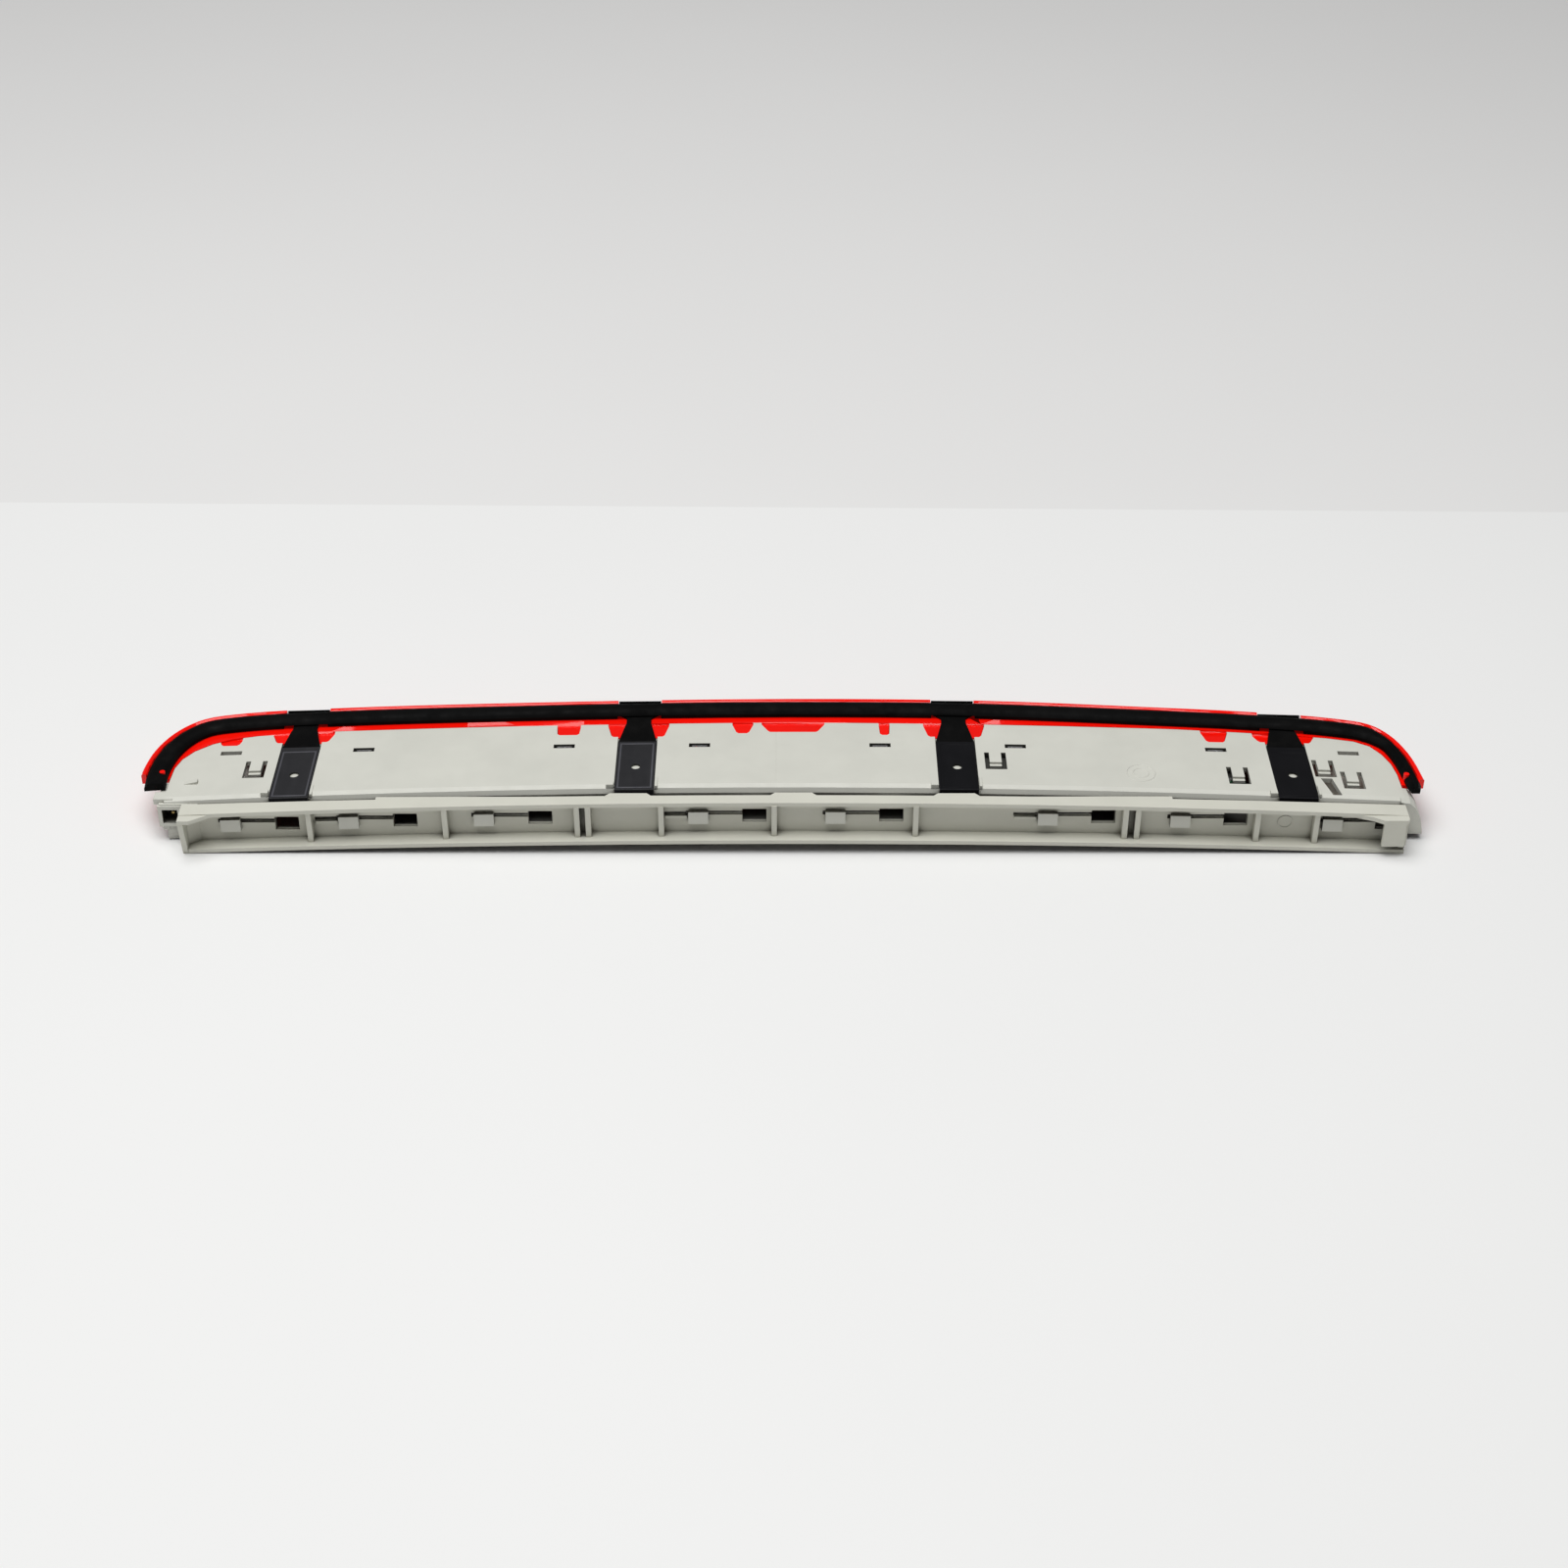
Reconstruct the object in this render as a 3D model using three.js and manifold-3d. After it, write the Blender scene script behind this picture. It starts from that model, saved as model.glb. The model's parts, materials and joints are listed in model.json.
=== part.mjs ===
// A third brake light: a long, gently arched lamp with a red lens along its front,
// a grey housing behind it, a rubber seal round the rim, four steel straps and a slotted
// retaining rail that slides along the back of the housing.
// Working frame, in millimetres: X to the right seen from the rail, Y from the front edge
// of the rail to the lens, Z up. The finished lamp is then centred over its own base.
import * as THREE from "three";
import Module from "manifold-3d";

const wasm = await Module();
wasm.setup();

// Arch and levels shared by every long part. Heights marked "flat" are before the arch.
const ARCH_RISE = 5.2;
const ARCH_HALF_SPAN = 266;
const PANEL_TOP = 20.8; // flat height of the housing's top panel
const HOUSING_BASE = 0.8; // flat height of the housing's underside at the back
const WALL = 2.2; // moulded wall of the housing
const LENS_WALL = 2;
const GAP = 0.3; // clearance between neighbouring pieces
const STATION_PITCH = 36; // longest straight piece of an arched part
const BACK_EDGE = { middle: 13.4, bow: 2.3, span: 230 }; // back of the panel, nearer the rail at the ends

// Rim of the lens in plan, from the left tip round the front to the right tip.
const RIM = [
  [-283.6, 17.6],
  [-284.2, 27],
  [-283.6, 37],
  [-280.6, 49.5],
  [-274, 61.5],
  [-263.8, 70],
  [-245, 73.9],
  [-206, 76],
  [-122, 77.4],
  [0, 79],
  [86, 78.4],
  [162, 75.2],
  [206, 73.2],
  [245, 69.6],
  [260.5, 65.6],
  [268.4, 57.6],
  [274.2, 43.5],
  [277.2, 23],
  [277.6, 15.8],
];
const RIM_STEPS = 4; // pieces between two points of the rim
const LENS_TIP_STEPS = 4; // pieces of the rim past the ends of the lens, under the seal only

// Front edge of the housing's panel in plan, left to right.
const PANEL_EDGE = [
  [-271.6, 25.6],
  [-271.2, 35],
  [-269, 42],
  [-264.6, 48],
  [-257.6, 53.2],
  [-249, 56.8],
  [-238, 58.8],
  [-205, 60.9],
  [-122, 62.2],
  [0, 63.6],
  [86, 62.8],
  [173, 61.4],
  [215, 59.2],
  [240, 57.2],
  [252, 55.2],
  [258.6, 51.6],
  [262.8, 45.4],
  [265.6, 38],
  [266.8, 30],
  [267, 21.2],
];

// Lens: levels measured from the panel top, insets measured inwards from the rim.
const LIP_WIDTH = 2.1;
const LIP_HEIGHT = 3;
const LENS_BULGE = 1.3;
const LENS_TIP_HEIGHT = 18.6; // height of the lens's lower edge at its tips
const LENS_HALF_SPAN = 283;
const LENS_SWEEP = 2.4; // how late the lower edge turns up towards the tips
const FLANGE_WIDTH = 19; // from the rim to where the lens's flange passes under the panel
const FLOOR_STEP = 3.2; // how far the lens's floor lies above its lower edge
const FACE_ENDS = { x: 272, y: 50 }; // the face stops where the rim turns back past these
const TAB_DROP = 0.85; // tabs of the lens lie this far under the panel top
const PEG_RADIUS = 1.2;
const PEGS = [
  [-274.8, 27.4],
  [269.6, 25.4],
];

// Seal: a D-shaped rubber strip on the lens, inside the lip.
const SEAL_OUTER = 2.4;
const SEAL_INNER = 11.5;
const SEAL_TAPER = 3.2; // how much narrower the seal is round the right tip
const SEAL_HEIGHT = 4.1;

// Straps.
const STRAPS = [-217.4, -67.6, 73.4, 220.6];
const STRAP_WIDTH = 17;
const STRAP_NECK = 11;
const STRAP_HEAD = 19;
const STRAP_THICKNESS = 0.8;
const STRAP_TOP = PANEL_TOP - 0.1;
const STRAP_BEND = 49; // where the flat part turns up towards the rim
const STRAP_RISE = 59.5; // where it is level again, on the lens
const STRAP_HOLE_RADIUS = 2.05;
const STRAP_HOLE_FROM_BACK = 16.6;
const STRAP_CLAW = 5; // how far a strap is hooked down over the back edge
const STRAP_LUG = 13.4; // half width of the lens lug under each strap's neck
const LUG_BACK = 53; // back edge of the lugs

// Tabs of the lens along the panel edge: centre, half width at the edge and at the tip.
const TABS = [
  { x: -249.5, edge: 4.6, tip: 3.8, length: 4.6 },
  { x: -98.8, edge: 5, tip: 4.6, length: 7.6 },
  { x: -21, edge: 4.4, tip: 2.6, length: 8 },
  { x: 1.5, edge: 13.8, tip: 11, length: 7.2 },
  { x: 42.3, edge: 2.2, tip: 1.8, length: 9 },
  { x: 189.8, edge: 5.7, tip: 3.9, length: 8.4 },
];

// Housing details.
const SHELL_ENDS = [-271.6, 267.4];
const TROUGH_ENDS = [-268.6, 263.4];
const TROUGH = { front: 72, lipStart: 62, floorEnd: 38, crown: 3 }; // section of the housing
const SLOTS = [-248, -189, -100, -40, 40, 100, 189, 248];
const SLOT = { y: 45.8, width: 9.4, length: 2.9 };
const SNAPS = [
  [-235.3, 32.1],
  [90.5, 33.8],
  [196.4, 25.7],
  [235.1, 32.8],
  [246.4, 24.4],
];
const HOOKS = [-242.7, -191.3, -132.6, -39.7, 19.7, 111.7, 169.2, 235.3];
const HOOK = { width: 8.6, height: 6.2, thickness: 2, z: 10.2, neck: 1.2, neckRise: 1.4 };
const SOCKET = { x0: -274.6, x1: -264.2, front: 9.5, back: 19, z0: 7.6, z1: 18.2, wall: 1.8 };
const EAR = {
  x: 270,
  front: 20.2,
  base: 3.2,
  tops: [[265, 20.8], [269, 20.2], [271.4, 18], [273.6, 14.2], [275.2, 9.6], [276, 5.4]],
}; // rounded right end: its height at places along the lamp
const LEFT_END = {
  right: -268,
  low: { left: -274.3, back: 14, front: 24.2, top: 20.3 },
  plate: { left: -276.4, back: 11.8, front: 17.2, top: 20.5 },
  ledge: { left: -274, right: -257, back: 10.2, front: 14, base: 15.5, top: 18.8 },
};
const RAMP = { x0: -265.6, x1: -259, y0: 22.4, y1: 25, rise: 1.5 };
const SOCKET_FOOT = { x0: -273.4, x1: -270.4, z0: 5.6 };
const MOULD_LINE = { x: -6, width: 0.3, depth: 0.12 }; // shallow line across the panel
const SIDE_SLOT = [
  [232.4, 25.6],
  [237.4, 25.6],
  [239.8, 13.4],
  [235.8, 13.4],
]; // slanted slot beside the last strap, in plan
const SNAP = { half: 3.7, cut: 2.1, back: 6, front: 6.8 }; // tongue cut free in the panel
const NUB = { height: 2.4, gap: 0.5, wide: 3.1, thin: 1 }; // catches beside a strap's back end
const BOARD_POST_RADIUS = 3.2;

// Retaining rail.
const RAIL = {
  left: -263.6,
  right: 266.6,
  height: 19.6,
  wall: 1.9,
  web: 7.25,
  webThickness: 1.8,
  ribFront: 2.5,
  ribWidth: 2.3,
};
const RAIL_FRONT = { middle: 3, bow: 1.6, span: 235 }; // front edge of the top flange
const WIDER = [
  { wide: -179.3, narrow: -110 },
  { wide: 165.5, narrow: 104 },
]; // stretches where the top flange widens backwards to a step
const WIDER_BY = 1.9;
const WIDER_STEP = 0.05; // half the length of that step
const RAIL_END = { top: 19.5, thickness: 2.3, lean: 3.3, shelf: 2.8, back: 8.9 };
const RIBS = [-208.1, -149.3, -92.1, -87.3, -55.7, -6.8, 54.4, 145.1, 150.4, 202.3, 227.9];
const SLIDE = 24.3; // travel from a locked hook to its window
const WINDOW = { width: 10.5, height: 6.8 };
const BACK_WINDOW = { width: 11.4, low: 3.4, high: 12.8 };
const NECK_SLOT = 2.1; // height of the slot that a hook's neck slides along
const SLOT_LEAD = 5.5; // how far the slot runs past the neck
const TONGUES = [-191.3, -39.7, 111.7];
const TONGUE = { offset: 9.7, width: 9.6, low: 1.2, high: 0.4 };
const HUMPS = [-70, 1.5, 72];
const HUMP = { half: 10.5, topHalf: 8, from: 8.4, to: 10.9 };
const MOULD_RING = { x: 215, z: 10, outer: 3.4, inner: 2.8, proud: 0.25 };

// Lighting parts inside the housing.
const LED_COUNT = 16;
const LED_PITCH = 25;
const LED_Z = 12; // flat height of the row of LEDs
const BOARD = { half: 200, y0: 26, y1: 27.6, z0: 6.2, z1: 17 };
const SCREWS = [-150, -50, 50, 150];
const RESISTORS = [-125, -25, 25, 125];
const DIODE_X = -175;
const LED = { half: 2.6, domeRadius: 2, base: 1.6, height: 2.9 };
const SCREW = { headRadius: 2.6, head: 1.6, radius: 1.2, tip: 20, slot: 0.7 };
const BOARD_HOLE_RADIUS = 1.6;
const PILOT = { radius: 1.5, tip: 19 }; // hole in a board post for its screw
const SEAT = 0.1; // clearance under a piece that stands on the board
const BOARD_PART = { half: 3.1, height: 3.2, depth: 0.8 }; // resistors and diode
const TERMINAL = { x0: -269.8, x1: -268.4, y0: 13.8, y1: 24, thickness: 1, levels: [14.8, 12] };
const LEAD_RADIUS = 0.8;
const LEAD_STEPS = 12;
const LEAD_SIDES = 8;
const POWER_ROUTE = [
  [-268, 25.2, 14.8],
  [-250, 24, 16],
  [-225, 23, 16.6],
  [-198, 24.6, 17.2],
];
const GROUND_ROUTE = [
  [-268, 25.2, 12],
  [-250, 24, 11.6],
  [-225, 23, 12.6],
  [-198, 24.6, 13.4],
];
const OPTIC = { half: 198, y0: 46, y1: 49.6, z0: 7.8, z1: 18 };

const COLOURS = {
  housing: [0xc6c7bf, 0.55, 0],
  lens: [0xc4120c, 0.12, 0],
  seal: [0x141414, 0.85, 0],
  strap: [0x1b1b1e, 0.4, 0.6],
  rail: [0xbdbeb5, 0.6, 0],
  optic: [0xe9edf0, 0.15, 0],
  reflector: [0xf2f2ee, 0.35, 0],
  board: [0x1f5c34, 0.5, 0],
  led: [0xf3e7a8, 0.25, 0],
  screw: [0x9a9da1, 0.35, 0.9],
  resistor: [0x202022, 0.5, 0],
  terminal: [0xc9a54c, 0.3, 0.9],
  redLead: [0xb01414, 0.5, 0],
  blackLead: [0x1a1a1a, 0.5, 0],
};

// Height that the arch adds at a place along the lamp.
const arch = (x) => ARCH_RISE * (1 - (x / ARCH_HALF_SPAN) ** 2);

// Back edge of the housing's panel: it bows a little towards the lens in the middle.
const backEdge = (x) => BACK_EDGE.middle - BACK_EDGE.bow * (x / BACK_EDGE.span) ** 2;

// Height above the ground of the lens's lower edge.
const lensBottom = (x) => LENS_TIP_HEIGHT * Math.abs(x / LENS_HALF_SPAN) ** LENS_SWEEP;

// Turns a three.js geometry into a solid that can be joined and cut.
function solid(geometry) {
  const flat = geometry.index ? geometry.toNonIndexed() : geometry;
  const position = flat.getAttribute("position");
  const mesh = new wasm.Mesh({
    numProp: 3,
    vertProperties: new Float32Array(position.array),
    triVerts: Uint32Array.from({ length: position.count }, (_, i) => i),
  });
  mesh.merge();
  return new wasm.Manifold(mesh);
}

const area = THREE.ShapeUtils.area;

const join = (...solids) => wasm.Manifold.union(solids);

// A box given by its low and high corners.
function box(x0, x1, y0, y1, z0, z1) {
  const geometry = new THREE.BoxGeometry(x1 - x0, y1 - y0, z1 - z0);
  geometry.translate((x0 + x1) / 2, (y0 + y1) / 2, (z0 + z1) / 2);
  return solid(geometry);
}

// A block centred on a place along the lamp, lifted and tilted with the arch there.
function archedBox(x, width, y0, y1, z0, z1) {
  return loft([x - width / 2, x + width / 2], () => [[y0, z0], [y0, z1], [y1, z1], [y1, z0]]);
}

// An upright cylinder.
function post(x, y, radius, z0, z1) {
  const geometry = new THREE.CylinderGeometry(radius, radius, z1 - z0, 20);
  geometry.rotateX(Math.PI / 2);
  geometry.translate(x, y, (z0 + z1) / 2);
  return solid(geometry);
}

// A cylinder lying along Y.
function barrel(x, z, radius, y0, y1, sides = 16) {
  const geometry = new THREE.CylinderGeometry(radius, radius, y1 - y0, sides);
  geometry.translate(x, (y0 + y1) / 2, z);
  return solid(geometry);
}

// Closed skin through rings of points that all have the same count, with flat end caps.
// The rings may run either way round: the skin is turned to face outwards.
function skin(rings) {
  const count = rings[0].length;
  const triangles = [];
  for (let i = 0; i + 1 < rings.length; i += 1) {
    for (let j = 0; j < count; j += 1) {
      const k = (j + 1) % count;
      triangles.push([rings[i][j], rings[i + 1][j], rings[i + 1][k]]);
      triangles.push([rings[i][j], rings[i + 1][k], rings[i][k]]);
    }
  }
  const first = rings[0];
  const last = rings[rings.length - 1];
  const outline = flattened(first);
  for (const corners of THREE.ShapeUtils.triangulateShape([...outline], [])) {
    const sameWay = area(corners.map((i) => outline[i])) * area(outline) > 0;
    const [a, b, c] = sameWay ? corners : [...corners].reverse();
    triangles.push([first[a], first[b], first[c]]);
    triangles.push([last[c], last[b], last[a]]);
  }
  const volume = triangles.reduce((sum, [a, b, c]) => sum + a.dot(b.clone().cross(c)), 0);
  const points = triangles.flatMap(([a, b, c]) => (volume > 0 ? [a, b, c] : [a, c, b]));
  return solid(new THREE.BufferGeometry().setFromPoints(points));
}

// A ring's points in its own plane, which always stands upright.
function flattened(ring) {
  const start = ring[0];
  const far = ring.reduce((best, p) => (p.distanceTo(start) > best.distanceTo(start) ? p : best), start);
  const along = far.clone().sub(start);
  const side = new THREE.Vector3(along.x, along.y, 0).normalize();
  return ring.map((p) => new THREE.Vector2(p.dot(side), p.z));
}

// Places along the lamp from x0 to x1, close enough together to follow the arch.
function stations(x0, x1) {
  const count = Math.max(1, Math.ceil((x1 - x0) / STATION_PITCH));
  return Array.from({ length: count + 1 }, (_, i) => x0 + ((x1 - x0) * i) / count);
}

// A long arched part: section(x) gives its outline as flat [y, z] points at each place.
function loft(places, section) {
  return skin(places.map((x) => section(x).map(([y, z]) => new THREE.Vector3(x, y, z + arch(x)))));
}

// An upright prism over a plan outline.
function prism(outline, z0, z1) {
  const shape = new THREE.Shape(outline.map(([x, y]) => new THREE.Vector2(x, y)));
  const geometry = new THREE.ExtrudeGeometry(shape, { depth: z1 - z0, bevelEnabled: false });
  geometry.translate(0, 0, z0);
  return solid(geometry);
}

// The rim as closely spaced points, each with its inward normal.
function rimPoints() {
  const control = RIM.map(([x, y]) => new THREE.Vector3(x, y, 0));
  const curve = new THREE.CatmullRomCurve3(control, false, "centripetal");
  const count = (RIM.length - 1) * RIM_STEPS;
  return Array.from({ length: count + 1 }, (_, i) => {
    const tangent = curve.getTangent(i / count);
    return { at: curve.getPoint(i / count), inward: new THREE.Vector3(tangent.y, -tangent.x, 0) };
  });
}

const rim = rimPoints();

// A strip that follows the rim: section(point) gives [inset, real height] pairs.
function sweep(points, section) {
  return skin(points.map((point) => section(point).map(([inset, z]) => {
    const p = point.at.clone().addScaledVector(point.inward, inset);
    p.z = z + arch(p.x) - arch(point.at.x);
    return p;
  })));
}

// Distance of the rim from the back of the lamp at a place along it.
function rimAt(x) {
  const after = rim.findIndex((point) => point.at.x > x);
  const a = rim[after - 1].at;
  const b = rim[after].at;
  return a.y + ((b.y - a.y) * (x - a.x)) / (b.x - a.x);
}

// Distance of the panel's front edge from the back of the lamp.
function panelEdgeAt(x) {
  const after = PANEL_EDGE.findIndex(([edgeX], i) => i > 0 && edgeX > x);
  const [x0, y0] = PANEL_EDGE[after - 1];
  const [x1, y1] = PANEL_EDGE[after];
  return y0 + ((y1 - y0) * (x - x0)) / (x1 - x0);
}

// Plan outline of the space the housing fills, moved outwards by a margin.
function housingOutline(margin) {
  const edge = PANEL_EDGE.map(([x, y], i) => {
    const before = PANEL_EDGE[Math.max(0, i - 1)];
    const after = PANEL_EDGE[Math.min(PANEL_EDGE.length - 1, i + 1)];
    const length = Math.hypot(after[0] - before[0], after[1] - before[1]);
    return [x - (margin * (after[1] - before[1])) / length, y + (margin * (after[0] - before[0])) / length];
  });
  return [...edge, [edge[edge.length - 1][0], -20], [edge[0][0], -20]];
}

// Plan outline of one tab of the lens, or of its notch when a clearance is given.
function tabOutline({ x, edge, tip, length }, clearance) {
  const y = panelEdgeAt(x);
  const outer = edge + clearance;
  const inner = tip + clearance;
  const end = y - length - clearance;
  return [[x - outer, y + 3], [x - outer, y - 1.6], [x - inner, end + 1], [x - inner + 1, end],
    [x + inner - 1, end], [x + inner, end + 1], [x + outer, y - 1.6], [x + outer, y + 3]];
}

// The lugs under the straps' necks are wide tabs with rounded shoulders.
const lugs = STRAPS.map((x) => {
  const length = panelEdgeAt(x) - LUG_BACK;
  return { x, edge: STRAP_LUG, tip: STRAP_LUG - 1.8, length };
});

// Section of the housing: a trough that is open towards the lens.
function housingSection(x, inset) {
  const back = backEdge(x) + inset;
  const top = PANEL_TOP - inset;
  const base = HOUSING_BASE + inset;
  const { crown, lipStart, floorEnd } = TROUGH;
  const front = TROUGH.front + inset;
  const lip = Math.max(base, Math.min(lensBottom(x) + FLOOR_STEP + inset - arch(x), top - 0.4));
  return [[back, base], [back, top - crown], [back + 0.3 * crown, top - 0.3 * crown],
    [back + crown, top], [front, top], [front, lip], [lipStart, lip], [floorEnd, base]];
}

// U-shaped cut round a snap tongue in the panel.
function snapCut([x, y]) {
  const { half, cut } = SNAP;
  const low = PANEL_TOP - 4;
  const high = PANEL_TOP + 1;
  const back = y - SNAP.back;
  const front = y + SNAP.front;
  return join(
    archedBox(x - half, cut, back, front, low, high),
    archedBox(x + half, cut, back, front, low, high),
    archedBox(x, 2 * half + cut, back, y - 2.2, low, high),
    archedBox(x, 2 * half - cut + 0.3, y - 2.4, y - 0.6, PANEL_TOP - 1, high),
  );
}

// A T-shaped hook on the back of the housing, with its neck and head.
function hook(x) {
  const z = HOOK.z - HOOK.height / 2;
  const face = RAIL.web - GAP;
  const head = archedBox(x, HOOK.width, face - HOOK.thickness, face, z, z + HOOK.height);
  const neckLow = HOOK.z + HOOK.neckRise - HOOK.neck / 2;
  const neck = archedBox(x, HOOK.width - 2, RAIL.web - 1, backEdge(x) + 1, neckLow, neckLow + HOOK.neck);
  return join(head, neck);
}

function connectorSocket() {
  const s = SOCKET;
  const shell = box(s.x0, s.x1, s.front, s.back, s.z0, s.z1);
  const foot = box(SOCKET_FOOT.x0, SOCKET_FOOT.x1, s.front + 0.6, s.back, SOCKET_FOOT.z0, s.z0 + 0.5);
  return join(shell, foot);
}

function socketCavity() {
  const s = SOCKET;
  return box(s.x0 + s.wall, s.x1 - s.wall, s.front - 1, s.back - 1.8, s.z0 + s.wall, s.z1 - s.wall);
}

// The right end of the housing rounds over and down: a row of upright sections along X.
function rightEnd() {
  const back = backEdge(EAR.x);
  return skin(EAR.tops.map(([x, top]) => [
    new THREE.Vector3(x, back, EAR.base),
    new THREE.Vector3(x, back, top - 1),
    new THREE.Vector3(x, back + 1.4, top),
    new THREE.Vector3(x, EAR.front, top),
    new THREE.Vector3(x, EAR.front, EAR.base),
  ]));
}

// The left end: a low floor under the seal's tip, a plate at panel level and a ledge in front.
function leftEnd() {
  const { right, low, plate, ledge } = LEFT_END;
  return join(
    box(low.left, right, low.back, low.front, SOCKET.z1 - 0.5, low.top),
    box(plate.left, right, plate.back, plate.front, SOCKET.z1 - 0.5, plate.top),
    box(ledge.left, ledge.right, ledge.back, ledge.front, ledge.base, ledge.top),
  );
}

// Ramp on the panel near its left end, steep on the right.
function panelRamp() {
  const { x0, x1, y0, y1, rise } = RAMP;
  const base = PANEL_TOP - 0.6;
  return skin([y0, y1].map((y) => [
    new THREE.Vector3(x0, y, base),
    new THREE.Vector3(x0, y, base + 0.5),
    new THREE.Vector3(x1, y, PANEL_TOP + rise),
    new THREE.Vector3(x1, y, base),
  ]));
}

function rearHousing() {
  let shell = loft(stations(...SHELL_ENDS), (x) => housingSection(x, 0));
  shell = shell.subtract(loft(stations(...TROUGH_ENDS), (x) => housingSection(x, WALL)));
  shell = shell.intersect(prism(housingOutline(0), -10, 40));
  for (const tab of [...TABS, ...lugs]) {
    shell = shell.subtract(prism(tabOutline(tab, GAP), PANEL_TOP - WALL - 0.6, 40));
  }
  shell = join(shell, rightEnd(), leftEnd(), panelRamp(), connectorSocket(), ...HOOKS.map(hook));
  for (const x of SCREWS) shell = join(shell, boardPost(x));
  for (const x of STRAPS) shell = join(shell, ...strapNubs(x));
  const cuts = [socketCavity(), ...SNAPS.map(snapCut), ...STRAPS.map(strapRecess)];
  for (const x of SLOTS) {
    cuts.push(archedBox(x, SLOT.width, SLOT.y - SLOT.length / 2, SLOT.y + SLOT.length / 2, 17, 23));
  }
  for (const x of SCREWS) cuts.push(barrel(x, LED_Z + arch(x), PILOT.radius, PILOT.tip, BOARD.y0));
  for (const x of HOOKS.slice(0, -1)) cuts.push(backWindow(x + SLIDE));
  cuts.push(prism(SIDE_SLOT, PANEL_TOP - WALL - 0.5, PANEL_TOP + 3));
  cuts.push(archedBox(MOULD_LINE.x, MOULD_LINE.width, 17, 60, PANEL_TOP - MOULD_LINE.depth, PANEL_TOP + 1));
  for (const z of TERMINAL.levels) {
    cuts.push(box(TERMINAL.x0 - GAP, TERMINAL.x1 + 0.9, 13, 26.4, z - 0.5 - GAP, z + 0.5 + GAP));
  }
  return shell.subtract(join(...cuts));
}

// Opening in the back wall beside a hook, behind the rail's window and reaching lower.
function backWindow(x) {
  const back = backEdge(x);
  const { width, low, high } = BACK_WINDOW;
  return archedBox(x, width, back - 1, back + WALL + 0.2, low, high);
}

// Post that carries the LED board, reaching forward from the back wall.
function boardPost(x) {
  return barrel(x, LED_Z + arch(x), BOARD_POST_RADIUS, backEdge(x) + 1, BOARD.y0 - GAP);
}

// Shallow bed for a strap, cut into the panel.
function strapRecess(x) {
  return archedBox(x, STRAP_WIDTH + 2 * GAP, 0, 56, PANEL_TOP - 1.2, 40);
}

// Small catches that hold the back end of a strap.
function strapNubs(x) {
  const { height, gap, wide, thin } = NUB;
  const y = backEdge(x);
  const left = x - STRAP_WIDTH / 2 - gap;
  const right = x + STRAP_WIDTH / 2 + gap;
  const top = PANEL_TOP + 1.1 + arch(x);
  return [
    box(left - wide, left, y + 0.8, y + 3.6, top - height, top),
    box(right, right + thin, y + 0.6, y + 8, top - height, top - 0.5),
  ];
}

// Section of the lens's seal flange with the raised lip along its outer edge.
function flangeSection({ at }) {
  const top = PANEL_TOP + arch(at.x);
  const crest = top + LIP_HEIGHT;
  return [[FLANGE_WIDTH, top - LENS_WALL], [FLANGE_WIDTH, top], [LIP_WIDTH, top],
    [LIP_WIDTH, crest - 0.5], [LIP_WIDTH - 0.7, crest], [0.6, crest], [0, crest - 0.7],
    [0, top - LENS_WALL]];
}

// Section of the lens's face and of the floor that runs back to the housing.
function faceSection({ at }) {
  const top = PANEL_TOP + arch(at.x) - 1;
  const low = lensBottom(at.x);
  const height = top - low;
  const fullness = Math.min(1, height / 18);
  const floor = Math.max(HOUSING_BASE + arch(at.x), low + FLOOR_STEP);
  const bulge = LENS_BULGE * fullness;
  const wall = Math.min(LENS_WALL, height * 0.4);
  return [[0, top], [-bulge, top - height * 0.3], [-bulge * 0.8, top - height * 0.62],
    [0.8, low + height * 0.12], [3.4, low], [FLANGE_WIDTH, floor], [FLANGE_WIDTH, floor + wall],
    [4.6, low + wall], [wall + 0.6, low + height * 0.2 + wall * 0.5],
    [wall - bulge * 0.8, top - height * 0.6], [wall - bulge, top - height * 0.3], [wall, top]];
}

function outerLens() {
  const flangePoints = rim.slice(LENS_TIP_STEPS, -LENS_TIP_STEPS);
  const facePoints = flangePoints.filter(({ at }) => Math.abs(at.x) < FACE_ENDS.x && at.y > FACE_ENDS.y);
  let lens = join(sweep(flangePoints, flangeSection), sweep(facePoints, faceSection));
  lens = lens.subtract(prism(housingOutline(GAP), -20, 60));
  for (const tab of [...TABS, ...lugs]) {
    const height = PANEL_TOP - TAB_DROP + arch(tab.x);
    lens = join(lens, prism(tabOutline(tab, 0), height - 1.1, height));
  }
  for (const x of STRAPS) {
    lens = lens.subtract(archedBox(x, STRAP_HEAD + 2 * GAP, 60, 90, PANEL_TOP, 60));
  }
  for (const [x, y] of PEGS) {
    const top = PANEL_TOP + arch(x);
    lens = join(lens, post(x, y, PEG_RADIUS, top - 1, top + SEAL_HEIGHT - 0.2));
  }
  return lens;
}

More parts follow.
